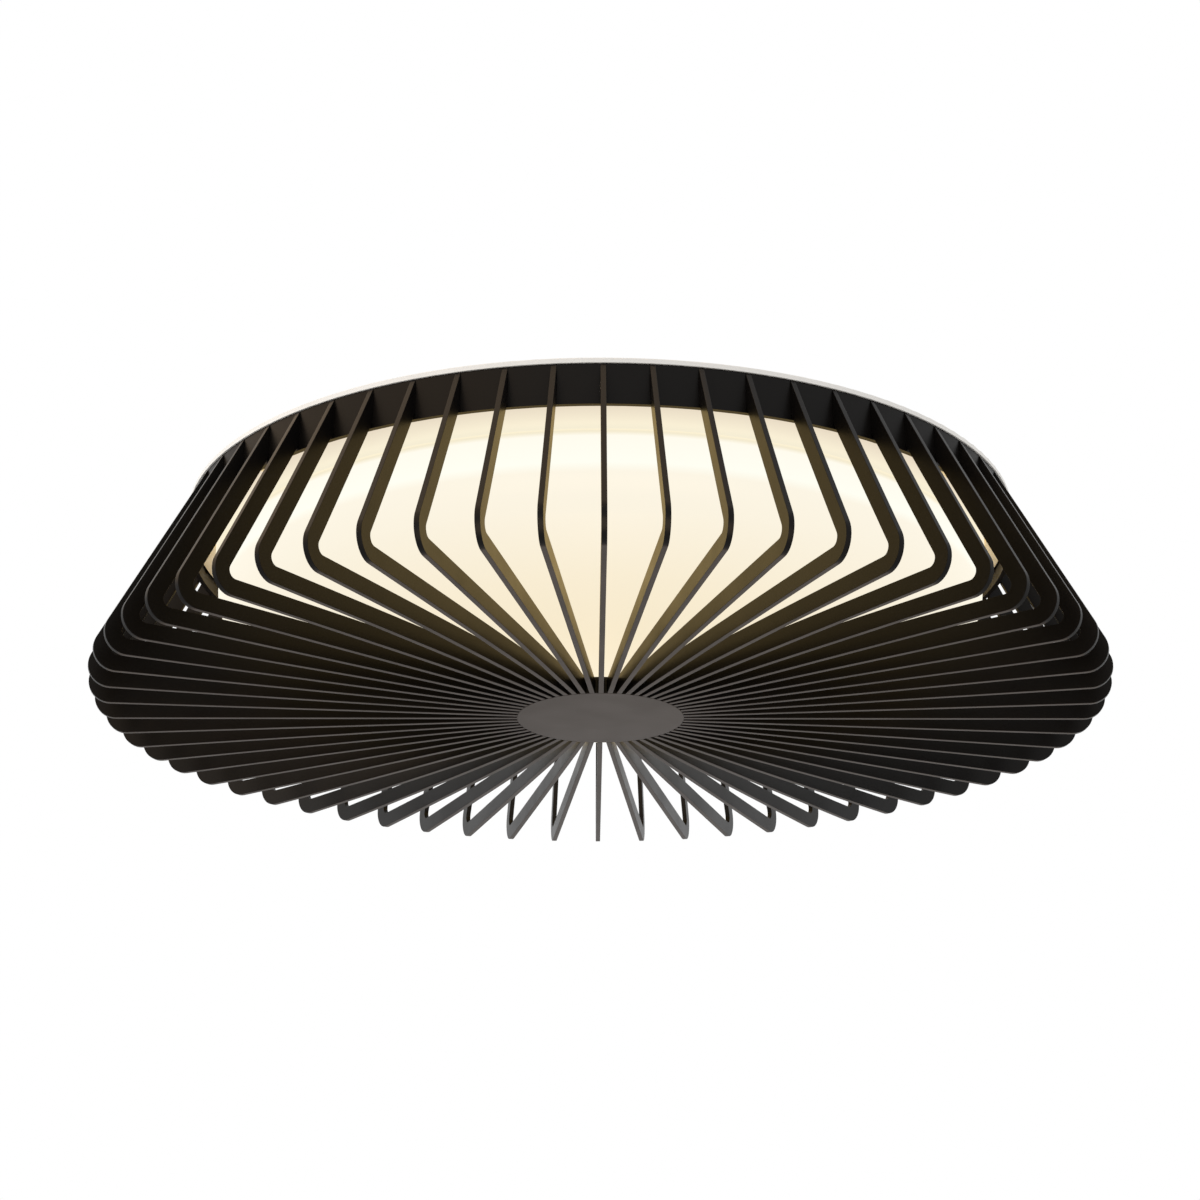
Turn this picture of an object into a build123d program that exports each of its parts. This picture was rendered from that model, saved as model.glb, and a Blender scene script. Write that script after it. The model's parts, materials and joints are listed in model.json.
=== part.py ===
"""A round ceiling light: a white pan, an opal diffuser and a black cage of sixty ribs.

Millimetres. The origin is the centre of the ceiling face and +Z points up, so the light
hangs below z = 0. One rib of the cage points along -Y.
"""

from build123d import *
from math import asin, atan2, cos, degrees, hypot, pi, radians, sin, tan
import os

os.makedirs("parts", exist_ok=True)

# Overall sizes
overall_r = 300.0
overall_height = 120.2

# Cage ring, the black band that closes round the pan
ring_outer_r = 246.0
ring_wall = 3.0
ring_height = 22.7
ring_seat_gap = 0.3

# Ribs, flat plates that hang from the ring and run in to the hub
rib_count = 60
rib_groups = 12
rib_t = 3.0
rib_depth = 9.3
elbow_r = 13.2
inner_elbow_r = 4.5
first_rib_angle = -90.0
seat_gap = 0.02
slot_clearance = 0.1
ring_tab_height = 10.0
ring_tab_below_top = 6.0
tab_end_gap = 0.3

# Hub that the ribs meet in
hub_r = 49.5
hub_thickness = 10.0
hub_cap_t = 2.0
hub_floor = 2.0
hub_tab_length = 6.0
hub_screw_circle_r = 30.0
hub_screw_count = 3
hub_screw_reach = 4.0

# Pan, pressed from one thickness of sheet
sheet_t = 1.0
rim_overhang = 0.8
rim_height = 3.0
rim_edge_r = 0.9
skirt_gap = 0.8
lip_z = -17.6
lip_width = 11.4
lip_bend_r = 0.6
flange_width = 12.0

# Ceiling screws, in the channel between the lamp plate and the diffuser
screw_channel = 37.0
screw_slot_r = 2.75
screw_slot_length = 20.0

# Grommet for the supply cable, sunk a little below the ceiling face
grommet_r = 11.0
grommet_bore_r = 5.0
grommet_lip = 2.0
grommet_recess = 0.4

# Diffuser
collar_gap = 0.8
collar_step = 2.5
collar_step_z = -32.9
diffuser_wall = 2.5
diffuser_edge_z = -71.5
diffuser_dome = 3.2
dome_flat_r = 6.0
diffuser_edge_r = 20.0
lug_count = 4
lug_reach = 5.5
lug_width = 16.0
lug_t = 5.6
lug_angle = 45.0
lug_gap = 0.3
twist = 12.0
notch_clearance = 1.0
stop_t = 2.0
stop_inset = 0.5

# Spring clips that hold the cage ring
clip_count = 3
clip_angle = 30.0
clip_t = 0.6
clip_width = 10.0
clip_gap = 0.1
bump_gap = 0.25
clip_top_z = -2.5
clip_rivet_z = -5.2
clip_window_top_z = -8.4
clip_window_height = 7.4
clip_window_width = 12.0
rivet_r = 1.2
rivet_head_r = 2.4
rivet_head_t = 0.8

# Lamp plate, its board and chips
plate_top_z = -30.2
plate_t = 1.5
plate_edge = 8.0
post_inset = 8.0
post_count = 4
post_r = 4.0
tray_screw_reach = 8.0
board_t = 1.6
board_margin = 16.0
board_inner_r = 70.0
board_screw_count = 6
chip_length = 3.5
chip_width = 2.8
chip_t = 0.7
chip_rows = 3
chips_in_first_row = 18
chips_more_each_row = 6
connector_size = 10.0
connector_height = 8.0
wire_hole_x = 54.0
wire_grommet_r = 7.0

# Driver and terminals, above the lamp plate
driver_length = 140.0
driver_width = 42.0
driver_height = 22.0
driver_wall = 1.5
driver_cover_t = 2.0
driver_x = -40.0
driver_y = 50.0
driver_board_drop = 3.6
transformer_size = 24.0
transformer_height = 11.0
transformer_corner = 2.0
capacitor_r = 5.0
capacitor_height = 12.0
capacitor_count = 2
capacitor_pitch = 80.0
strap_width = 12.0
strap_t = 1.0
strap_gap = 0.3
strap_x = 45.0
block_gap = 30.0
block_length = 32.0
block_depth = 20.0
block_height = 13.0
pole_count = 3
pole_pitch = 10.0
pole_z = -8.5
clamp_screw_r = 2.2
fixing_head_r = 2.4
fixing_head_t = 1.6

# Earth point
stud_x = -124.0
stud_y = 5.0
stud_length = 9.0
washer_t = 0.8
nut_t = 3.2
nut_r = 4.0
tag_r = 4.4
tag_width = 4.0
tag_length = 12.0

# Cutters that pass through one wall
wall_cut_length = 4.0

# Fasteners and wires
m3_r = 1.45
m4_r = 1.95
hole_clearance = 0.15
m3_head_r = 2.8
m4_head_r = 3.8
head_height = 2.0
wire_r = 1.0
lead_r = 1.4
wire_gap = 0.3
bore_end_gap = 0.3
block_wire_depth = 13.0
driver_wire_depth = 4.0
connector_wire_depth = 3.0
tag_wire_gap = 0.45
bend_share = 0.45

# Heights and radii that follow from the sizes above
bottom_z = -overall_height
ring_inner_r = ring_outer_r - ring_wall
ring_top_z = -rim_height - ring_seat_gap
ring_bottom_z = ring_top_z - ring_height
rim_r = ring_outer_r + rim_overhang
skirt_r = ring_inner_r - skirt_gap
lip_inner_r = skirt_r - lip_width
collar_r = lip_inner_r - collar_gap
diffuser_r = collar_r - collar_step
plate_r = diffuser_r - diffuser_wall - screw_channel
screw_spacing = 2 * (plate_r + screw_channel / 2) * cos(radians(45))
post_circle_r = plate_r - post_inset
post_length = -sheet_t - plate_top_z
lug_bottom_z = lip_z + sheet_t + lug_gap
collar_top_z = lug_bottom_z + lug_t
plate_bottom_z = plate_top_z - plate_t
board_z = plate_bottom_z - board_t
board_r = plate_r - board_margin
board_mid_r = (board_inner_r + board_r) / 2
chip_row_step = (board_r - board_inner_r) / chip_rows
block_x = driver_x - driver_length / 2 - block_gap - block_depth / 2
block_y = driver_y

# The outer edge of a rib leaves the ring's top edge and runs tangent to the elbow's arc
leg_in = overall_r - elbow_r - ring_outer_r
leg_drop = ring_top_z - bottom_z - elbow_r
leg_lean = atan2(leg_in, leg_drop) + asin(elbow_r / hypot(leg_in, leg_drop))
corner_r = ring_outer_r + (ring_top_z - bottom_z) * tan(leg_lean)
leg_thickness = rib_depth / cos(leg_lean)
inner_corner_r = corner_r - leg_thickness - rib_depth * tan(leg_lean)


def nearest(builder, x, y):
    """The vertex of a sketch that lies closest to a point of its plane."""
    return builder.vertices().sort_by_distance((x, y, 0))[0]


# Base plate with its turned-down rim
with BuildPart() as base_plate:
    with BuildSketch(Plane.XZ) as base_profile:
        with BuildLine():
            Polyline(
                (0, 0),
                (rim_r, 0),
                (rim_r, -rim_height),
                (rim_r - sheet_t, -rim_height),
                (rim_r - sheet_t, -sheet_t),
                (0, -sheet_t),
                close=True,
            )
        make_face()
        fillet(nearest(base_profile, rim_r, 0), radius=rim_edge_r)
    revolve(axis=Axis.Z)
    with BuildSketch():
        with GridLocations(screw_spacing, screw_spacing, 2, 2):
            SlotOverall(screw_slot_length, 2 * screw_slot_r)
        Circle(grommet_r)
        with Locations((block_x, block_y)):
            with GridLocations(0, pole_pitch, 1, pole_count - 1):
                Circle(m3_r + hole_clearance)
    extrude(amount=-sheet_t, mode=Mode.SUBTRACT)
base_plate.part.label = "base_plate"
export_step(base_plate.part, "parts/base_plate.step")

# Carrier ring: flange welded to the base plate, skirt, and the lip that the diffuser hangs on
skirt_inner_r = skirt_r - sheet_t
notch_reach = lug_reach + collar_gap
notch_width = lug_width + 2 * notch_clearance
lug_half_angle = degrees(lug_width / 2 / (collar_r + lug_reach / 2))
stop_circle_r = lip_inner_r + stop_inset + lug_reach / 2
stop_angle = lug_angle + lug_half_angle + degrees((lug_gap + stop_t / 2) / (collar_r + lug_reach / 2))
rivet_hole_r = rivet_r + hole_clearance / 2
with BuildPart() as carrier_ring:
    with BuildSketch(Plane.XZ) as carrier_profile:
        with BuildLine():
            Polyline(
                (skirt_r - flange_width, -sheet_t),
                (skirt_r, -sheet_t),
                (skirt_r, lip_z),
                (lip_inner_r, lip_z),
                (lip_inner_r, lip_z + sheet_t),
                (skirt_inner_r, lip_z + sheet_t),
                (skirt_inner_r, -2 * sheet_t),
                (skirt_r - flange_width, -2 * sheet_t),
                close=True,
            )
        make_face()
        fillet(nearest(carrier_profile, skirt_r, lip_z), radius=lip_bend_r)
    revolve(axis=Axis.Z)
    with BuildSketch(Plane.XY.offset(lip_z)):
        with PolarLocations(lip_inner_r, lug_count, start_angle=lug_angle - twist):
            Rectangle(2 * notch_reach, notch_width)
    extrude(amount=sheet_t, mode=Mode.SUBTRACT)
    with BuildSketch(Plane.XY.offset(lip_z + sheet_t)):
        with PolarLocations(stop_circle_r, lug_count, start_angle=stop_angle):
            Rectangle(lug_reach, stop_t)
    extrude(amount=lug_t)
    with PolarLocations(skirt_r, clip_count, start_angle=clip_angle):
        with Locations((0, 0, clip_window_top_z - clip_window_height / 2)):
            Box(wall_cut_length, clip_window_width, clip_window_height, mode=Mode.SUBTRACT)
        with Locations((0, 0, clip_rivet_z)):
            Cylinder(rivet_hole_r, wall_cut_length, rotation=(0, 90, 0), mode=Mode.SUBTRACT)
carrier_ring.part.label = "carrier_ring"
export_step(carrier_ring.part, "parts/carrier_ring.step")

# Leaf springs whose bumps reach out through the skirt's windows to the cage ring
leaf_r = skirt_inner_r - clip_gap - clip_t
bump_r = ring_inner_r - bump_gap - clip_t
window_mid_z = clip_window_top_z - clip_window_height / 2
with BuildPart() as clip:
    with BuildSketch(Plane.XZ):
        with BuildLine():
            Polyline(
                (leaf_r, clip_top_z),
                (leaf_r, clip_window_top_z - clip_t),
                (bump_r, window_mid_z),
                (leaf_r, clip_window_top_z - clip_window_height + clip_t),
            )
            offset(amount=clip_t, side=Side.LEFT)
        make_face()
    extrude(amount=clip_width / 2, both=True)
    with Locations((leaf_r, 0, clip_rivet_z)):
        Cylinder(rivet_hole_r, wall_cut_length, rotation=(0, 90, 0), mode=Mode.SUBTRACT)
with BuildPart() as ring_clips:
    with PolarLocations(0, clip_count, start_angle=clip_angle):
        add(clip.part)
ring_clips.part.label = "ring_clips"
export_step(ring_clips.part, "parts/ring_clips.step")

with BuildPart() as clip_rivet:
    with BuildSketch(Plane.YZ.offset(leaf_r - rivet_head_t)):
        with Locations((0, clip_rivet_z)):
            Circle(rivet_head_r)
    extrude(amount=rivet_head_t)
    with BuildSketch(Plane.YZ.offset(leaf_r)):
        with Locations((0, clip_rivet_z)):
            Circle(rivet_r)
    extrude(amount=skirt_r - leaf_r - clip_gap)
with BuildPart() as clip_rivets:
    with PolarLocations(0, clip_count, start_angle=clip_angle):
        add(clip_rivet.part)
clip_rivets.part.label = "clip_rivets"
export_step(clip_rivets.part, "parts/clip_rivets.step")

# Rubber grommet in the supply cable's hole
with BuildPart() as cable_grommet:
    with BuildSketch(Plane.XZ):
        with BuildLine():
            Polyline(
                (grommet_bore_r, -grommet_recess),
                (grommet_r, -grommet_recess),
                (grommet_r, -sheet_t),
                (grommet_r + grommet_lip, -sheet_t),
                (grommet_r + grommet_lip, -sheet_t - grommet_lip),
                (grommet_bore_r, -sheet_t - grommet_lip),
                close=True,
            )
        make_face()
    revolve(axis=Axis.Z)
cable_grommet.part.label = "cable_grommet"
export_step(cable_grommet.part, "parts/cable_grommet.step")

# Posts and screws that carry the lamp plate
with BuildPart() as tray_posts:
    with BuildSketch(Plane.XY.offset(-sheet_t)):
        with PolarLocations(post_circle_r, post_count):
            Circle(post_r)
    extrude(amount=-post_length)
    with BuildSketch(Plane.XY.offset(plate_top_z)):
        with PolarLocations(post_circle_r, post_count):
            Circle(m3_r + seat_gap)
    extrude(amount=tray_screw_reach + bore_end_gap, mode=Mode.SUBTRACT)
tray_posts.part.label = "tray_posts"
export_step(tray_posts.part, "parts/tray_posts.step")

with BuildPart() as tray_screws:
    with BuildSketch(Plane.XY.offset(plate_bottom_z)):
        with PolarLocations(post_circle_r, post_count):
            Circle(m3_head_r)
    extrude(amount=-head_height)
    with BuildSketch(Plane.XY.offset(plate_bottom_z)):
        with PolarLocations(post_circle_r, post_count):
            Circle(m3_r)
    extrude(amount=plate_t + tray_screw_reach)
tray_screws.part.label = "tray_screws"
export_step(tray_screws.part, "parts/tray_screws.step")

# Lamp plate: an aluminium dish with a turned-up edge
board_screw_circle_r = board_mid_r + chip_row_step / 2
board_screw_start = 180 / board_screw_count
with BuildPart() as led_plate:
    with BuildSketch(Plane.XZ):
        with BuildLine():
            Polyline(
                (0, plate_bottom_z),
                (plate_r, plate_bottom_z),
                (plate_r, plate_top_z + plate_edge),
                (plate_r - plate_t, plate_top_z + plate_edge),
                (plate_r - plate_t, plate_top_z),
                (0, plate_top_z),
                close=True,
            )
        make_face()
    revolve(axis=Axis.Z)
    with BuildSketch(Plane.XY.offset(plate_bottom_z)):
        with PolarLocations(post_circle_r, post_count):
            Circle(m3_r + hole_clearance)
        with PolarLocations(board_screw_circle_r, board_screw_count, start_angle=board_screw_start):
            Circle(m3_r + hole_clearance)
        with Locations((wire_hole_x, 0)):
            Circle(wire_grommet_r)
    extrude(amount=plate_t, mode=Mode.SUBTRACT)
led_plate.part.label = "led_plate"
export_step(led_plate.part, "parts/led_plate.step")

# Lamp board, a flat ring under the plate, with its chips in rows
with BuildPart() as led_board:
    with BuildSketch(Plane.XY.offset(board_z)):
        Circle(board_r)
        Circle(board_inner_r, mode=Mode.SUBTRACT)
        with PolarLocations(board_screw_circle_r, board_screw_count, start_angle=board_screw_start):
            Circle(m3_r + hole_clearance, mode=Mode.SUBTRACT)
    extrude(amount=board_t)
led_board.part.label = "led_board"
export_step(led_board.part, "parts/led_board.step")

with BuildPart() as board_screws:
    with BuildSketch(Plane.XY.offset(board_z)):
        with PolarLocations(board_screw_circle_r, board_screw_count, start_angle=board_screw_start):
            Circle(m3_head_r)
    extrude(amount=-head_height)
    with BuildSketch(Plane.XY.offset(board_z)):
        with PolarLocations(board_screw_circle_r, board_screw_count, start_angle=board_screw_start):
            Circle(m3_r)
    extrude(amount=board_t + plate_t)
board_screws.part.label = "board_screws"
export_step(board_screws.part, "parts/board_screws.step")

with BuildPart() as led_chips:
    with BuildSketch(Plane.XY.offset(board_z)):
        for row in range(chip_rows):
            row_r = board_mid_r + (row - (chip_rows - 1) / 2) * chip_row_step
            row_count = chips_in_first_row + row * chips_more_each_row
            with PolarLocations(row_r, row_count, start_angle=180 / row_count):
                Rectangle(chip_width, chip_length)
    extrude(amount=-chip_t)
led_chips.part.label = "led_chips"
export_step(led_chips.part, "parts/led_chips.step")

# Connector on the board's inner edge; its bore opens towards the wire hole
connector_x = board_inner_r + connector_size / 2
connector_wire_z = board_z - connector_height / 2
with BuildPart() as led_connector:
    with BuildSketch(Plane.XY.offset(board_z)):
        with Locations((connector_x, 0)):
            Rectangle(connector_size, connector_size)
    extrude(amount=-connector_height)
    with BuildSketch(Plane.YZ.offset(board_inner_r)):
        with Locations((0, connector_wire_z)):
            Circle(lead_r + wire_gap)
    extrude(amount=connector_wire_depth + bore_end_gap, mode=Mode.SUBTRACT)
led_connector.part.label = "led_connector"
export_step(led_connector.part, "parts/led_connector.step")

with BuildPart() as plate_grommet:
    with BuildSketch(Plane.XZ):
        with BuildLine():
            Polyline(
                (wire_hole_x + wire_grommet_r - grommet_lip, plate_top_z + grommet_lip),
                (wire_hole_x + wire_grommet_r + grommet_lip, plate_top_z + grommet_lip),
                (wire_hole_x + wire_grommet_r + grommet_lip, plate_top_z),
                (wire_hole_x + wire_grommet_r, plate_top_z),
                (wire_hole_x + wire_grommet_r, plate_bottom_z),
                (wire_hole_x + wire_grommet_r + grommet_lip, plate_bottom_z),
                (wire_hole_x + wire_grommet_r + grommet_lip, plate_bottom_z - grommet_lip),
                (wire_hole_x + wire_grommet_r - grommet_lip, plate_bottom_z - grommet_lip),
                close=True,
            )
        make_face()
    revolve(axis=Axis((wire_hole_x, 0, 0), (0, 0, 1)))
plate_grommet.part.label = "plate_grommet"
export_step(plate_grommet.part, "parts/plate_grommet.step")

# Driver: a case that opens towards the base plate, a cover, and what is on its board
driver_bottom_z = -sheet_t - driver_height
case_top_z = -sheet_t - driver_cover_t
board_seat_z = -sheet_t - driver_board_drop - board_t
case_inner_length = driver_length - 2 * driver_wall
case_inner_width = driver_width - 2 * driver_wall
with BuildPart() as driver_case:
    with BuildSketch(Plane.XY.offset(driver_bottom_z)):
        with Locations((driver_x, driver_y)):
            Rectangle(driver_length, driver_width)
    extrude(amount=case_top_z - driver_bottom_z)
    with BuildSketch(Plane.XY.offset(board_seat_z)):
        with Locations((driver_x, driver_y)):
            Rectangle(case_inner_length, case_inner_width)
    extrude(amount=case_top_z - board_seat_z, mode=Mode.SUBTRACT)
    with BuildSketch(Plane.XY.offset(driver_bottom_z + driver_wall)):
        with Locations((driver_x, driver_y)):
            Rectangle(case_inner_length - 2 * driver_wall, case_inner_width - 2 * driver_wall)
    extrude(amount=board_seat_z - driver_bottom_z - driver_wall, mode=Mode.SUBTRACT)
    with BuildSketch(Plane.YZ.offset(driver_x - driver_length / 2)):
        with Locations((driver_y, pole_z), (driver_y + pole_pitch, pole_z)):
            Circle(wire_r + wire_gap)
    extrude(amount=2 * driver_wall, mode=Mode.SUBTRACT)
    with BuildSketch(Plane.YZ.offset(driver_x + driver_length / 2)):
        with Locations((driver_y, pole_z)):
            Circle(lead_r + wire_gap)
    extrude(amount=-2 * driver_wall, mode=Mode.SUBTRACT)
driver_case.part.label = "driver_case"
export_step(driver_case.part, "parts/driver_case.step")

with BuildPart() as driver_cover:
    with BuildSketch(Plane.XY.offset(case_top_z)):
        with Locations((driver_x, driver_y)):
            Rectangle(driver_length, driver_width)
    extrude(amount=driver_cover_t)
driver_cover.part.label = "driver_cover"
export_step(driver_cover.part, "parts/driver_cover.step")

with BuildPart() as driver_board:
    with BuildSketch(Plane.XY.offset(board_seat_z)):
        with Locations((driver_x, driver_y)):
            Rectangle(case_inner_length - 2 * wire_gap, case_inner_width - 2 * wire_gap)
    extrude(amount=board_t)
driver_board.part.label = "driver_board"
export_step(driver_board.part, "parts/driver_board.step")

with BuildPart() as driver_transformer:
    with BuildSketch(Plane.XY.offset(board_seat_z)) as transformer_outline:
        with Locations((driver_x, driver_y)):
            Rectangle(transformer_size, transformer_size)
        chamfer(transformer_outline.vertices(), length=transformer_corner)
    extrude(amount=-transformer_height)
driver_transformer.part.label = "driver_transformer"
export_step(driver_transformer.part, "parts/driver_transformer.step")

with BuildPart() as driver_capacitors:
    with BuildSketch(Plane.XY.offset(board_seat_z)):
        with Locations((driver_x, driver_y)):
            with GridLocations(capacitor_pitch, 0, capacitor_count, 1):
                Circle(capacitor_r)
    extrude(amount=-capacitor_height)
driver_capacitors.part.label = "driver_capacitors"
export_step(driver_capacitors.part, "parts/driver_capacitors.step")

# Straps over the driver, with their feet welded to the base plate
strap_inner = driver_width / 2 + strap_gap
strap_outer = strap_inner + strap_t
strap_inner_z = driver_bottom_z - strap_gap
strap_outer_z = strap_inner_z - strap_t
with BuildPart() as driver_straps:
    with BuildSketch(Plane.YZ.offset(driver_x - strap_x), Plane.YZ.offset(driver_x + strap_x)):
        with BuildLine():
            Polyline(
                (driver_y - strap_outer - strap_width, -sheet_t),
                (driver_y - strap_inner, -sheet_t),
                (driver_y - strap_inner, strap_inner_z),
                (driver_y + strap_inner, strap_inner_z),
                (driver_y + strap_inner, -sheet_t),
                (driver_y + strap_outer + strap_width, -sheet_t),
                (driver_y + strap_outer + strap_width, -sheet_t - strap_t),
                (driver_y + strap_outer, -sheet_t - strap_t),
                (driver_y + strap_outer, strap_outer_z),
                (driver_y - strap_outer, strap_outer_z),
                (driver_y - strap_outer, -sheet_t - strap_t),
                (driver_y - strap_outer - strap_width, -sheet_t - strap_t),
                close=True,
            )
        make_face()
    extrude(amount=strap_width / 2, both=True)
driver_straps.part.label = "driver_straps"
export_step(driver_straps.part, "parts/driver_straps.step")

# Terminal block, its clamp screws, and fixing screws between its poles
block_bottom_z = -sheet_t - block_height
clamp_screw_length = pole_z - wire_r - wire_gap - block_bottom_z
with BuildPart() as terminal_block:
    with BuildSketch(Plane.XY.offset(block_bottom_z)):
        with Locations((block_x, block_y)):
            Rectangle(block_depth, block_length)
    extrude(amount=block_height)
    with BuildSketch(Plane.YZ.offset(block_x - block_depth / 2)):
        with Locations((block_y, pole_z)):
            with GridLocations(pole_pitch, 0, pole_count, 1):
                Circle(wire_r + wire_gap)
    extrude(amount=block_depth, mode=Mode.SUBTRACT)
    with BuildSketch(Plane.XY.offset(block_bottom_z)):
        with Locations((block_x, block_y)):
            with GridLocations(0, pole_pitch, 1, pole_count):
                Circle(clamp_screw_r + hole_clearance)
    extrude(amount=clamp_screw_length, mode=Mode.SUBTRACT)
    with BuildSketch(Plane.XY.offset(block_bottom_z)):
        with Locations((block_x, block_y)):
            with GridLocations(0, pole_pitch, 1, pole_count - 1):
                Circle(m3_r + hole_clearance)
    extrude(amount=block_height, mode=Mode.SUBTRACT)
terminal_block.part.label = "terminal_block"
export_step(terminal_block.part, "parts/terminal_block.step")

with BuildPart() as terminal_screws:
    with BuildSketch(Plane.XY.offset(block_bottom_z)):
        with Locations((block_x, block_y)):
            with GridLocations(0, pole_pitch, 1, pole_count):
                Circle(clamp_screw_r)
    extrude(amount=clamp_screw_length)
terminal_screws.part.label = "terminal_screws"
export_step(terminal_screws.part, "parts/terminal_screws.step")

with BuildPart() as block_screws:
    with BuildSketch(Plane.XY.offset(block_bottom_z)):
        with Locations((block_x, block_y)):
            with GridLocations(0, pole_pitch, 1, pole_count - 1):
                Circle(fixing_head_r)
    extrude(amount=-fixing_head_t)
    with BuildSketch(Plane.XY.offset(block_bottom_z)):
        with Locations((block_x, block_y)):
            with GridLocations(0, pole_pitch, 1, pole_count - 1):
                Circle(m3_r)
    extrude(amount=block_height + sheet_t - seat_gap)
block_screws.part.label = "block_screws"
export_step(block_screws.part, "parts/block_screws.step")

# Earth point: a weld stud, a washer, the wire's tag and a nut
tag_z = -sheet_t - washer_t
with BuildPart() as earth_stud:
    with BuildSketch(Plane.XY.offset(-sheet_t)):
        with Locations((stud_x, stud_y)):
            Circle(m4_r)
    extrude(amount=-stud_length)
earth_stud.part.label = "earth_stud"
export_step(earth_stud.part, "parts/earth_stud.step")

with BuildPart() as earth_washer:
    with BuildSketch(Plane.XY.offset(-sheet_t)):
        with Locations((stud_x, stud_y)):
            Circle(tag_r)
            Circle(m4_r + hole_clearance, mode=Mode.SUBTRACT)
    extrude(amount=-washer_t)
earth_washer.part.label = "earth_washer"
export_step(earth_washer.part, "parts/earth_washer.step")

with BuildPart() as earth_tag:
    with BuildSketch(Plane.XY.offset(tag_z)):
        with Locations((stud_x, stud_y)):
            Circle(tag_r)
        with Locations((stud_x, stud_y + tag_length / 2)):
            Rectangle(tag_width, tag_length)
        with Locations((stud_x, stud_y)):
            Circle(m4_r + hole_clearance, mode=Mode.SUBTRACT)
    extrude(amount=-washer_t)
earth_tag.part.label = "earth_tag"
export_step(earth_tag.part, "parts/earth_tag.step")

with BuildPart() as earth_nut:
    with BuildSketch(Plane.XY.offset(tag_z - washer_t)):
        with Locations((stud_x, stud_y)):
            RegularPolygon(nut_r, 6)
            Circle(m4_r + hole_clearance, mode=Mode.SUBTRACT)
    extrude(amount=-nut_t)
earth_nut.part.label = "earth_nut"
export_step(earth_nut.part, "parts/earth_nut.step")


def bend_radii(points):
    """The largest bend that each corner's two runs allow, in the order of the corners."""
    corners = [Vector(*point) for point in points]
    radii = []
    for before, corner, after in zip(corners, corners[1:], corners[2:]):
        first = corner - before
        second = after - corner
        turn = radians(first.get_angle(second))
        radii.append(bend_share * min(first.length, second.length) / tan(turn / 2))
    return radii


def wire(points, section_r):
    """A round wire along straight runs joined by tangent arcs."""
    radii = bend_radii(points)
    with BuildPart() as run:
        with BuildLine() as route:
            FilletPolyline(*points, radius=radii)
        with BuildSketch(Plane(origin=route.line @ 0, z_dir=route.line % 0)):
            Circle(section_r)
        sweep()
    length = sum(edge.length for edge in route.edges())
    ratio = run.part.volume / (pi * section_r**2 * length)
    print("wire bends", [round(radius, 1) for radius in radii], "volume ratio", round(ratio, 4))
    return run.part


# Supply wires, straight from the block's first two poles into the driver's near end
block_wire_x = driver_x - driver_length / 2 - block_gap - block_wire_depth
supply_wire_length = block_wire_depth + block_gap + driver_wire_depth
with BuildPart() as mains_wires:
    with BuildSketch(Plane.YZ.offset(block_wire_x)):
        with Locations((driver_y, pole_z), (driver_y + pole_pitch, pole_z)):
            Circle(wire_r)
    extrude(amount=supply_wire_length)
mains_wires.part.label = "mains_wires"
export_step(mains_wires.part, "parts/mains_wires.step")

# Earth wire from the block's third pole to the tag on the stud
earth_y = driver_y - pole_pitch
earth_points = [
    (block_wire_x, earth_y, pole_z),
    (stud_x, earth_y, pole_z),
    (stud_x, stud_y + tag_length + tag_wire_gap, tag_z - washer_t / 2),
]
with BuildPart() as earth_wire:
    add(wire(earth_points, wire_r))
earth_wire.part.label = "earth_wire"
export_step(earth_wire.part, "parts/earth_wire.step")

# Lamp lead from the driver's far end, down through the plate's grommet to the connector
lead_points = [
    (driver_x + driver_length / 2 - driver_wire_depth, driver_y, pole_z),
    (wire_hole_x, driver_y, pole_z),
    (wire_hole_x, 0, pole_z),
    (wire_hole_x, 0, connector_wire_z),
    (board_inner_r + connector_wire_depth, 0, connector_wire_z),
]
with BuildPart() as led_lead:
    add(wire(lead_points, lead_r))
led_lead.part.label = "led_lead"
export_step(led_lead.part, "parts/led_lead.step")

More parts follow.
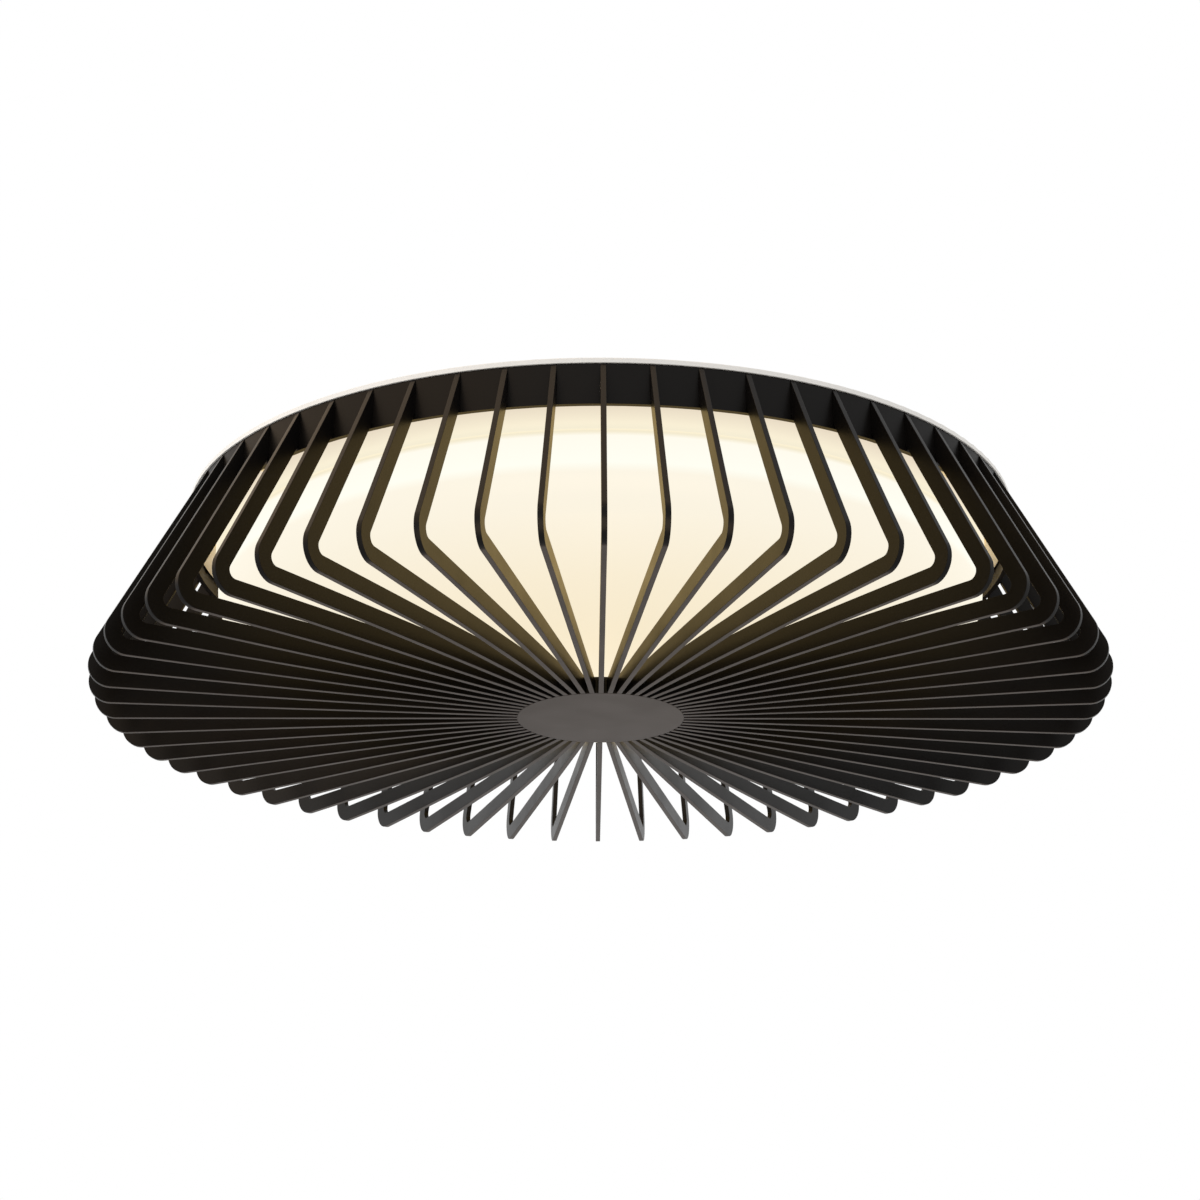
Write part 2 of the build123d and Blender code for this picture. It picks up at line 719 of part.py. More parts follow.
# Opal diffuser: a shallow drum with a collar, a soft lower edge and four bayonet lugs.
# Its bottom is two parts of spheres about one centre on the axis, with a small flat in the middle.
diffuser_inner_r = diffuser_r - diffuser_wall
collar_inner_r = collar_r - diffuser_wall
dome_r = (diffuser_r**2 + diffuser_dome**2) / (2 * diffuser_dome)
dome_centre = (0, diffuser_edge_z - diffuser_dome + dome_r)
inner_dome_r = dome_r - diffuser_wall
dome_start = degrees(asin(dome_flat_r / dome_r))
dome_turn = degrees(asin(diffuser_r / dome_r)) - dome_start
inner_dome_turn = degrees(asin(diffuser_inner_r / inner_dome_r)) - dome_start
with BuildPart() as diffuser:
    with BuildSketch(Plane.XZ) as diffuser_profile:
        with BuildLine():
            outer_dome = CenterArc(dome_centre, dome_r, dome_start - 90, dome_turn)
            inner_dome = CenterArc(dome_centre, inner_dome_r, dome_start - 90, inner_dome_turn)
            Polyline(
                outer_dome @ 1,
                (diffuser_r, collar_step_z),
                (collar_r, collar_step_z),
                (collar_r, collar_top_z),
                (collar_inner_r, collar_top_z),
                (collar_inner_r, collar_step_z + diffuser_wall),
                (diffuser_inner_r, collar_step_z + diffuser_wall),
                inner_dome @ 1,
            )
            Polyline(
                outer_dome @ 0,
                (0, (outer_dome @ 0).Y),
                (0, (inner_dome @ 0).Y),
                inner_dome @ 0,
            )
        make_face()
        fillet(nearest(diffuser_profile, diffuser_r, diffuser_edge_z), radius=diffuser_edge_r)
        fillet(
            nearest(diffuser_profile, diffuser_inner_r, diffuser_edge_z + diffuser_wall),
            radius=diffuser_edge_r - diffuser_wall,
        )
    revolve(axis=Axis.Z)
    with BuildSketch(Plane.XY.offset(lug_bottom_z)):
        with PolarLocations(collar_r - diffuser_wall / 2, lug_count, start_angle=lug_angle):
            Rectangle(diffuser_wall + 2 * lug_reach, lug_width)
        Circle(collar_r - diffuser_wall / 2, mode=Mode.SUBTRACT)
    extrude(amount=lug_t)
diffuser.part.label = "diffuser"
export_step(diffuser.part, "parts/diffuser.step")

# Cage ring with a slot for each rib's tab
ring_tab_z = ring_top_z - ring_tab_below_top - ring_tab_height / 2
with BuildPart() as cage_ring:
    with BuildSketch(Plane.XY.offset(ring_top_z)):
        Circle(ring_outer_r)
        Circle(ring_inner_r, mode=Mode.SUBTRACT)
    extrude(amount=-ring_height)
    with PolarLocations((ring_outer_r + ring_inner_r) / 2, rib_count, start_angle=first_rib_angle):
        with Locations((0, 0, ring_tab_z)):
            Box(
                wall_cut_length,
                rib_t + 2 * slot_clearance,
                ring_tab_height + 2 * slot_clearance,
                mode=Mode.SUBTRACT,
            )
cage_ring.part.label = "cage_ring"
export_step(cage_ring.part, "parts/cage_ring.step")

# One rib: a flat plate cut as a bent band, notched round the ring, with a tab for the ring
# and a tab for the hub
rib_root_r = ring_outer_r + seat_gap
ring_tab_end_r = ring_inner_r + tab_end_gap
rib_foot_r = hub_r + seat_gap
hub_top_z = bottom_z + hub_thickness
hub_slot_top_z = hub_top_z - hub_cap_t
hub_slot_height = hub_thickness - hub_cap_t - hub_floor
hub_slot_z = bottom_z + hub_floor + hub_slot_height / 2
hub_tab_end_r = hub_r - hub_tab_length + tab_end_gap
with BuildPart() as rib:
    with BuildSketch(Plane.XZ) as rib_outline:
        with BuildLine():
            Polyline(
                (ring_outer_r, ring_top_z),
                (corner_r, bottom_z),
                (rib_foot_r, bottom_z),
                (rib_foot_r, bottom_z + rib_depth),
                (inner_corner_r, bottom_z + rib_depth),
                (ring_outer_r - leg_thickness, ring_top_z),
                close=True,
            )
        make_face()
        fillet(nearest(rib_outline, corner_r, bottom_z), radius=elbow_r)
        fillet(nearest(rib_outline, inner_corner_r, bottom_z + rib_depth), radius=inner_elbow_r)
        with Locations((rib_root_r, ring_bottom_z - seat_gap)):
            Rectangle(rib_root_r, 2 * ring_height, align=(Align.MAX, Align.MIN), mode=Mode.SUBTRACT)
        with Locations((ring_tab_end_r, ring_tab_z)):
            Rectangle(rib_root_r - ring_tab_end_r, ring_tab_height, align=(Align.MIN, Align.CENTER))
        with Locations((hub_tab_end_r, hub_slot_z)):
            Rectangle(
                rib_foot_r - hub_tab_end_r,
                hub_slot_height - 2 * slot_clearance,
                align=(Align.MIN, Align.CENTER),
            )
    extrude(amount=rib_t / 2, both=True)

# The ribs in groups of neighbours, each rib a separate solid
ribs_per_group = rib_count // rib_groups
rib_pitch = 360 / rib_count
for group in range(rib_groups):
    group_name = f"ribs_{group + 1:02d}"
    group_start = first_rib_angle + group * ribs_per_group * rib_pitch
    with BuildPart() as rib_group:
        with PolarLocations(0, ribs_per_group, group_start, ribs_per_group * rib_pitch):
            add(rib.part)
    rib_group.part.label = group_name
    export_step(rib_group.part, f"parts/{group_name}.step")

# Hub: a slotted puck that takes the ribs' inner tabs, its cap and the cap's screws
with BuildPart() as hub_plate:
    with BuildSketch(Plane.XY.offset(bottom_z)):
        Circle(hub_r)
    extrude(amount=hub_thickness - hub_cap_t)
    with BuildSketch(Plane.XY.offset(bottom_z + hub_floor)):
        with PolarLocations(hub_r, rib_count, start_angle=first_rib_angle):
            Rectangle(2 * hub_tab_length, rib_t + 2 * slot_clearance)
    extrude(amount=hub_slot_height, mode=Mode.SUBTRACT)
    with BuildSketch(Plane.XY.offset(hub_slot_top_z)):
        with PolarLocations(hub_screw_circle_r, hub_screw_count):
            Circle(m4_r + seat_gap)
    extrude(amount=-hub_screw_reach - bore_end_gap, mode=Mode.SUBTRACT)
hub_plate.part.label = "hub_plate"
export_step(hub_plate.part, "parts/hub_plate.step")

with BuildPart() as hub_cap:
    with BuildSketch(Plane.XY.offset(hub_slot_top_z)):
        Circle(hub_r)
        with PolarLocations(hub_screw_circle_r, hub_screw_count):
            Circle(m4_r + hole_clearance, mode=Mode.SUBTRACT)
    extrude(amount=hub_cap_t)
hub_cap.part.label = "hub_cap"
export_step(hub_cap.part, "parts/hub_cap.step")

with BuildPart() as hub_screws:
    with BuildSketch(Plane.XY.offset(hub_top_z)):
        with PolarLocations(hub_screw_circle_r, hub_screw_count):
            Circle(m4_head_r)
    extrude(amount=head_height)
    with BuildSketch(Plane.XY.offset(hub_top_z)):
        with PolarLocations(hub_screw_circle_r, hub_screw_count):
            Circle(m4_r)
    extrude(amount=-hub_cap_t - hub_screw_reach)
hub_screws.part.label = "hub_screws"
export_step(hub_screws.part, "parts/hub_screws.step")
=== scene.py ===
"""A lit round ceiling light: white pan, opal diffuser and a black cage of sixty ribs.

The CAD frame gives every piece its place. This script eases the edges of the pieces that
show, builds the ribs and the diffuser anew, and gives each piece its finish.
"""

from __future__ import annotations

import json
import logging
import math
from dataclasses import dataclass, field
from enum import Enum
from typing import Any, Iterable

import bmesh
import bpy
from mathutils import Matrix, Vector


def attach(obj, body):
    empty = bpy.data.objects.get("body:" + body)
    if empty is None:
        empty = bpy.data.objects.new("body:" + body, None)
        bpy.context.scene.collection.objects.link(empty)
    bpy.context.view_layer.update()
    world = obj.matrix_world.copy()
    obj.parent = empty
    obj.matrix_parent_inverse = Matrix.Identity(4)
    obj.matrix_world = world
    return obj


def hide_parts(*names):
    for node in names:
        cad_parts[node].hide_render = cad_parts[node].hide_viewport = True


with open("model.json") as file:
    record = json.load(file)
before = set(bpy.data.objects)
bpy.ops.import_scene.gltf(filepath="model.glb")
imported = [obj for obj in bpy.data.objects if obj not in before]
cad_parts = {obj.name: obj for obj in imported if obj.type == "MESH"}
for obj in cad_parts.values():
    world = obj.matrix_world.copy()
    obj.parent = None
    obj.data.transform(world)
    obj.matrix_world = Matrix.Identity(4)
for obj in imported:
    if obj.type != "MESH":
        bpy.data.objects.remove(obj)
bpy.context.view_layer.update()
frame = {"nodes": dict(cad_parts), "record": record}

LOG = logging.getLogger("ceiling_light")
MM = 0.001
IMAGE_SIDE = 1200
SHADED_SHARP = math.radians(28)
SHARP = math.radians(35)
FLAT = math.radians(0.2)
MERGED_MM = 2e-4


class Body(Enum):
    """The CAD bodies that pieces ride on."""

    CEILING_UNIT = "ceiling_unit"
    DIFFUSER = "diffuser"
    CAGE = "cage"


class Slot(Enum):
    """The record's material slots."""

    BLACK_CAGE = "black_cage"
    WHITE_SHEET = "white_sheet"
    OPAL = "opal"
    SPRING_STEEL = "spring_steel"
    ZINC_STEEL = "zinc_steel"
    BARE_ALUMINIUM = "bare_aluminium"
    WHITE_BOARD = "white_board"
    GREEN_BOARD = "green_board"
    CHIP_PHOSPHOR = "chip_phosphor"
    WHITE_PLASTIC = "white_plastic"
    BLACK_RUBBER = "black_rubber"
    GREY_PLASTIC = "grey_plastic"
    WOUND_CORE = "wound_core"
    WIRE_WHITE = "wire_white"
    WIRE_BROWN = "wire_brown"
    WIRE_GREEN = "wire_green"


def linear(code: str) -> tuple[float, float, float, float]:
    """Turn an sRGB hex colour into the linear colour that shaders use.

    Args:
        code: Six hex digits with a leading hash.

    Returns:
        Linear red, green, blue and an alpha of 1.
    """
    channels = [int(code[i : i + 2], 16) / 255 for i in (1, 3, 5)]
    curved = [c / 12.92 if c <= 0.04045 else ((c + 0.055) / 1.055) ** 2.4 for c in channels]
    return (curved[0], curved[1], curved[2], 1.0)


def add_node(tree: bpy.types.NodeTree, kind: str, **settings: Any) -> bpy.types.Node:
    """Add one shader node with its settings and links.

    Args:
        tree: The node tree that takes the node.
        kind: The node's type name.
        settings: Node properties by name, and under "inputs" a dictionary from a socket's
            name or number to a value or to the socket that feeds it.

    Returns:
        The new node.
    """
    node = tree.nodes.new(kind)
    inputs = settings.pop("inputs", {})
    for name, value in settings.items():
        setattr(node, name, value)
    for key, value in inputs.items():
        if isinstance(value, bpy.types.NodeSocket):
            tree.links.new(value, node.inputs[key])
        else:
            node.inputs[key].default_value = value
    return node


@dataclass(frozen=True)
class Finish:
    """What every finish has: a name, a colour and a roughness."""

    name: str
    colour: str
    roughness: float

    def surface(self, tree: bpy.types.NodeTree, coords: bpy.types.NodeSocket) -> dict[str, Any]:
        """The shader inputs of this finish; a plain one has only its colour and roughness."""
        return {"Base Color": linear(self.colour), "Roughness": self.roughness}

    def build(self) -> bpy.types.Material:
        """Build the material.

        Returns:
            The material, or the one of this name that was built before.
        """
        made = bpy.data.materials.get(self.name)
        if made:
            return made
        material = bpy.data.materials.new(self.name)
        material.use_nodes = True
        tree = material.node_tree
        tree.nodes.clear()
        coords = add_node(tree, "ShaderNodeTexCoord").outputs["Object"]
        shader = add_node(tree, "ShaderNodeBsdfPrincipled", inputs=self.surface(tree, coords))
        add_node(
            tree, "ShaderNodeOutputMaterial", inputs={"Surface": shader.outputs["BSDF"]}
        )
        return material


@dataclass(frozen=True)
class PowderCoat(Finish):
    """Polyester powder, sprayed and baked: an even coat with a faint orange-peel skin."""

    peel_mm: float = 1.1
    peel_height_mm: float = 0.012
    specular: float = 0.5
    film_mm: float = 35.0
    gloss_swing: float = 0.03
    thick_film_gain: float = 1.12

    def surface(self, tree: bpy.types.NodeTree, coords: bpy.types.NodeSocket) -> dict[str, Any]:
        """Coat with orange peel as bump, and slow patches of gloss from uneven film.

        Args:
            tree: The material's node tree.
            coords: Object coordinates in metres.

        Returns:
            Inputs for the Principled shader.
        """
        peel = add_node(
            tree,
            "ShaderNodeTexNoise",
            inputs={"Vector": coords, "Scale": 1 / (self.peel_mm * MM), "Detail": 2.0},
        )
        bump = add_node(
            tree,
            "ShaderNodeBump",
            inputs={
                "Height": peel.outputs["Fac"],
                "Distance": self.peel_height_mm * MM,
                "Strength": 1.0,
            },
        )
        film = add_node(
            tree,
            "ShaderNodeTexNoise",
            inputs={"Vector": coords, "Scale": 1 / (self.film_mm * MM)},
        )
        gloss = add_node(
            tree,
            "ShaderNodeMapRange",
            inputs={
                "Value": film.outputs["Fac"],
                "From Min": 0.3,
                "From Max": 0.7,
                "To Min": self.roughness - self.gloss_swing,
                "To Max": self.roughness + self.gloss_swing,
            },
        )
        thin = linear(self.colour)
        shade = add_node(
            tree,
            "ShaderNodeMix",
            data_type="RGBA",
            inputs={
                "Factor": film.outputs["Fac"],
                "A": thin,
                "B": tuple(c * self.thick_film_gain for c in thin[:3]) + (1.0,),
            },
        )
        return {
            "Base Color": shade.outputs["Result"],
            "Roughness": gloss.outputs["Result"],
            "Specular IOR Level": self.specular,
            "Normal": bump.outputs["Normal"],
        }


@dataclass(frozen=True)
class LitOpal(Finish):
    """Opal acrylic, vacuum formed and lit from behind: a warm glow with a painted highlight and
    painted shade.

    The picture is exposed for the opal, so what the camera sees stays just under white,
    while the cage is lit by a warmer and stronger light, as its faces show.
    """

    lamp: str = "#FFDD95"
    lamp_strength: float = 1.42
    lamp_middle: float = 0.5
    lamp_even_mm: float = 100.0
    glow_strength: float = 0.98
    specular: float = 0.12
    bottom_mm: float = -74.7
    section_mm: float = 294.0
    # The glow's colours paint light and shade: a painted highlight on the wall above the round
    # edge, a painted shadow line at the collar's step and painted shade at the collar's top
    # under the pan's lip.
    glow_shade_and_highlight: tuple[tuple[float, str], ...] = (
        (0.0, "#F7E8C8"),
        (120.0, "#F9EDD3"),
        (246.0, "#FBF4E3"),
        (251.5, "#FEFEF2"),
        (266.5, "#FFFBEE"),
        (269.0, "#EFE6CB"),
        (271.5, "#F4ECD3"),
        (275.0, "#FAF0D6"),
        (288.0, "#E2D4C0"),
    )

    def surface(self, tree: bpy.types.NodeTree, coords: bpy.types.NodeSocket) -> dict[str, Any]:
        """Glow along the drum's section, from the bottom's centre out and up the wall, with a
        painted highlight and painted shade.

        Args:
            tree: The material's node tree.
            coords: Object coordinates in metres.

        Returns:
            Inputs for the Principled shader.
        """
        place = add_node(tree, "ShaderNodeSeparateXYZ", inputs={"Vector": coords})
        level = add_node(
            tree,
            "ShaderNodeCombineXYZ",
            inputs={"X": place.outputs["X"], "Y": place.outputs["Y"]},
        )
        out = add_node(
            tree,
            "ShaderNodeVectorMath",
            operation="LENGTH",
            inputs={0: level.outputs["Vector"]},
        )
        along = add_node(
            tree,
            "ShaderNodeMath",
            operation="ADD",
            inputs={0: out.outputs["Value"], 1: place.outputs["Z"]},
        )
        share = add_node(
            tree,
            "ShaderNodeMapRange",
            inputs={
                "Value": along.outputs[0],
                "From Min": self.bottom_mm * MM,
                "From Max": (self.bottom_mm + self.section_mm) * MM,
            },
        )
        # The ramp paints the highlight, the step's shadow line and the shade under the lip into
        # the glow that the camera sees.
        glow_and_shade_bands = add_node(tree, "ShaderNodeValToRGB", inputs={"Fac": share.outputs["Result"]})
        ramp = glow_and_shade_bands.color_ramp
        while len(ramp.elements) < len(self.glow_shade_and_highlight):
            ramp.elements.new(0.5)
        for element, (reach_mm, code) in zip(ramp.elements, self.glow_shade_and_highlight):
            element.position = reach_mm / self.section_mm
            element.color = linear(code)
        rows = add_node(
            tree,
            "ShaderNodeMapRange",
            inputs={
                "Value": out.outputs["Value"],
                "From Max": self.lamp_even_mm * MM,
                "To Min": self.lamp_middle * self.lamp_strength,
                "To Max": self.lamp_strength,
            },
        )
        lamp = add_node(
            tree,
            "ShaderNodeVectorMath",
            operation="SCALE",
            inputs={0: linear(self.lamp)[:3], "Scale": rows.outputs["Result"]},
        )
        path = add_node(tree, "ShaderNodeLightPath")
        light = add_node(
            tree,
            "ShaderNodeMix",
            data_type="RGBA",
            inputs={
                "Factor": path.outputs["Is Camera Ray"],
                "A": lamp.outputs["Vector"],
                "B": glow_and_shade_bands.outputs["Color"],
            },
        )
        return {
            "Base Color": linear(self.colour),
            "Roughness": self.roughness,
            "Specular IOR Level": self.specular,
            "Emission Color": light.outputs["Result"],
            "Emission Strength": self.glow_strength,
        }


@dataclass(frozen=True)
class BareMetal(Finish):
    """Bare or plated metal: colour in the reflection, with fine rolling or turning marks."""

    mark_mm: float = 0.6
    mark_height_mm: float = 0.004
    drawn_out: float = 0.04
    sheen_swing: float = 0.06

    def surface(self, tree: bpy.types.NodeTree, coords: bpy.types.NodeSocket) -> dict[str, Any]:
        """Metal with marks drawn out along X, as sheet leaves the rolls.

        Args:
            tree: The material's node tree.
            coords: Object coordinates in metres.

        Returns:
            Inputs for the Principled shader.
        """
        along = add_node(
            tree,
            "ShaderNodeMapping",
            inputs={"Vector": coords, "Scale": (self.drawn_out, 1.0, 1.0)},
        )
        marks = add_node(
            tree,
            "ShaderNodeTexNoise",
            inputs={"Vector": along.outputs["Vector"], "Scale": 1 / (self.mark_mm * MM)},
        )
        bump = add_node(
            tree,
            "ShaderNodeBump",
            inputs={"Height": marks.outputs["Fac"], "Distance": self.mark_height_mm * MM},
        )
        sheen = add_node(
            tree,
            "ShaderNodeMapRange",
            inputs={
                "Value": marks.outputs["Fac"],
                "To Min": self.roughness - self.sheen_swing,
                "To Max": self.roughness + self.sheen_swing,
            },
        )
        return {
            "Base Color": linear(self.colour),
            "Metallic": 1.0,
            "Roughness": sheen.outputs["Result"],
            "Normal": bump.outputs["Normal"],
        }


@dataclass(frozen=True)
class MouldedPolymer(Finish):
    """Moulded or extruded polymer: an even colour with the mould's fine spark-eroded skin."""

    skin_mm: float = 0.5
    skin_height_mm: float = 0.006
    mottle: float = 0.06
    mottle_mm: float = 12.0

    def surface(self, tree: bpy.types.NodeTree, coords: bpy.types.NodeSocket) -> dict[str, Any]:
        """Skin texture as bump, and a faint mottle where the melt cooled unevenly.

        Args:
            tree: The material's node tree.
            coords: Object coordinates in metres.

        Returns:
            Inputs for the Principled shader.
        """
        skin = add_node(
            tree,
            "ShaderNodeTexNoise",
            inputs={"Vector": coords, "Scale": 1 / (self.skin_mm * MM), "Detail": 1.0},
        )
        bump = add_node(
            tree,
            "ShaderNodeBump",
            inputs={"Height": skin.outputs["Fac"], "Distance": self.skin_height_mm * MM},
        )
        patches = add_node(
            tree,
            "ShaderNodeTexNoise",
            inputs={"Vector": coords, "Scale": 1 / (self.mottle_mm * MM)},
        )
        plain = linear(self.colour)
        shade = add_node(
            tree,
            "ShaderNodeMix",
            data_type="RGBA",
            inputs={
                "Factor": patches.outputs["Fac"],
                "A": plain,
                "B": tuple(c * (1 - self.mottle) for c in plain[:3]) + (1.0,),
            },
        )
        return {
            "Base Color": shade.outputs["Result"],
            "Roughness": self.roughness,
            "Normal": bump.outputs["Normal"],
        }


FINISHES: dict[Slot, Finish] = {
    # Black powder coat: near black, and grey only where it is seen at a low angle. Its
    # specular level is lower than a usual coat's 0.5, to match the picture's deep faces.
    Slot.BLACK_CAGE: PowderCoat(
        "black_powder_coat", "#0B0908", 0.36, specular=0.12, peel_height_mm=0.025
    ),
    # White powder coat on pressed steel, satin.
    Slot.WHITE_SHEET: PowderCoat("white_powder_coat", "#E9E6E1", 0.45, peel_mm=1.4),
    # Opal acrylic over the lamps: a warm glow with a painted highlight and painted shade, and a
    # satin skin.
    Slot.OPAL: LitOpal("lit_opal_acrylic", "#3A3833", 0.4),
    # Hardened strip, bright, with the rolls' marks.
    Slot.SPRING_STEEL: BareMetal("rolled_spring_steel", "#B9B8B6", 0.25),
    # Zinc plating, passivated: cool grey and a little cloudy.
    Slot.ZINC_STEEL: BareMetal("zinc_plated_steel", "#B4B8BC", 0.32, mark_mm=1.5),
    # Mill-finish aluminium sheet: pale, with soft streaks along the sheet.
    Slot.BARE_ALUMINIUM: BareMetal("mill_aluminium", "#D6D7D8", 0.34),
    # White solder mask, screened: smooth and slightly glossy.
    Slot.WHITE_BOARD: MouldedPolymer("white_solder_mask", "#EFF0EC", 0.3, skin_mm=0.8),
    # Green solder mask: deep green and glossier than the white.
    Slot.GREEN_BOARD: MouldedPolymer("green_solder_mask", "#1F5A33", 0.28, skin_mm=0.8),
    # Silicone with phosphor in it: deep yellow and soft.
    Slot.CHIP_PHOSPHOR: MouldedPolymer("phosphor_silicone", "#F2D05A", 0.4, skin_mm=0.3),
    # Moulded polycarbonate housings: off white with a fine satin skin.
    Slot.WHITE_PLASTIC: MouldedPolymer("moulded_polycarbonate", "#E6E5E0", 0.42),
    # Moulded rubber: dull black.
    Slot.BLACK_RUBBER: MouldedPolymer("moulded_rubber", "#1A1A1A", 0.75, skin_mm=0.9),
    # Shrunk sleeve of a capacitor: dark grey and fairly shiny.
    Slot.GREY_PLASTIC: MouldedPolymer("capacitor_sleeve", "#3F4148", 0.35),
    # Varnished winding over the core: amber, and uneven in tone.
    Slot.WOUND_CORE: MouldedPolymer("varnished_winding", "#8E6A2A", 0.4, mottle=0.2),
    # Extruded PVC wire sheaths: soft satin.
    Slot.WIRE_WHITE: MouldedPolymer("white_pvc_sheath", "#E8E7E3", 0.45),
    Slot.WIRE_BROWN: MouldedPolymer("brown_pvc_sheath", "#6A4227", 0.45),
    Slot.WIRE_GREEN: MouldedPolymer("green_pvc_sheath", "#4E8A33", 0.45),
}


def place_piece(
    name: str, bm: bmesh.types.BMesh, slot: Slot, body: Body, nodes: Iterable[str]
) -> bpy.types.Object:
    """Turn a finished bmesh into a piece of the object.

    Args:
        name: The piece's name.
        bm: The mesh, in metres and in place; it is freed here.
        slot: The record's slot that gives its finish.
        body: The CAD body that it rides on.
        nodes: The CAD nodes that it stands for.

    Returns:
        The new object.
    """
    mesh = bpy.data.meshes.new(name)
    bm.to_mesh(mesh)
    bm.free()
    mesh.shade_smooth()
    mesh.set_sharp_from_angle(angle=SHADED_SHARP)
    mesh.materials.append(FINISHES[slot].build())
    piece = bpy.data.objects.new(name, mesh)
    bpy.context.scene.collection.objects.link(piece)
    flat = piece.modifiers.new("flat_faces", "WEIGHTED_NORMAL")
    flat.mode = "FACE_AREA"
    flat.weight = 100
    flat.keep_sharp = True
    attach(piece, body.value)
    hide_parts(*nodes)
    LOG.info("%s: %d faces on %s, for %s", name, len(mesh.polygons), body.value, list(nodes))
    return piece


def round_off(
    bm: bmesh.types.BMesh,
    geom: Iterable[Any],
    offset: float,
    segments: int,
    affect: str = "EDGES",
    clamp: bool = False,
) -> None:
    """Round edges, or the corners of a flat outline.

    Args:
        bm: The mesh, changed in place.
        geom: The edges or vertices to round.
        offset: How far back the round starts, in the mesh's units.
        segments: The round's steps.
        affect: What geom holds, "EDGES" or "VERTICES".
        clamp: Whether rounds that would meet stop short.
    """
    bmesh.ops.bevel(
        bm,
        geom=list(geom),
        offset=offset,
        offset_type="OFFSET",
        affect=affect,
        segments=segments,
        profile=0.5,
        material=-1,
        clamp_overlap=clamp,
    )


def ease_edges(bm: bmesh.types.BMesh, width: float) -> None:
    """Round every sharp edge of a mesh a little, as paint and handling do.

    Args:
        bm: The mesh, changed in place.
        width: The round's width, in the mesh's units.
    """
    sharp = [e for e in bm.edges if len(e.link_faces) == 2 and e.calc_face_angle() > SHARP]
    round_off(bm, sharp, width, 2, clamp=True)


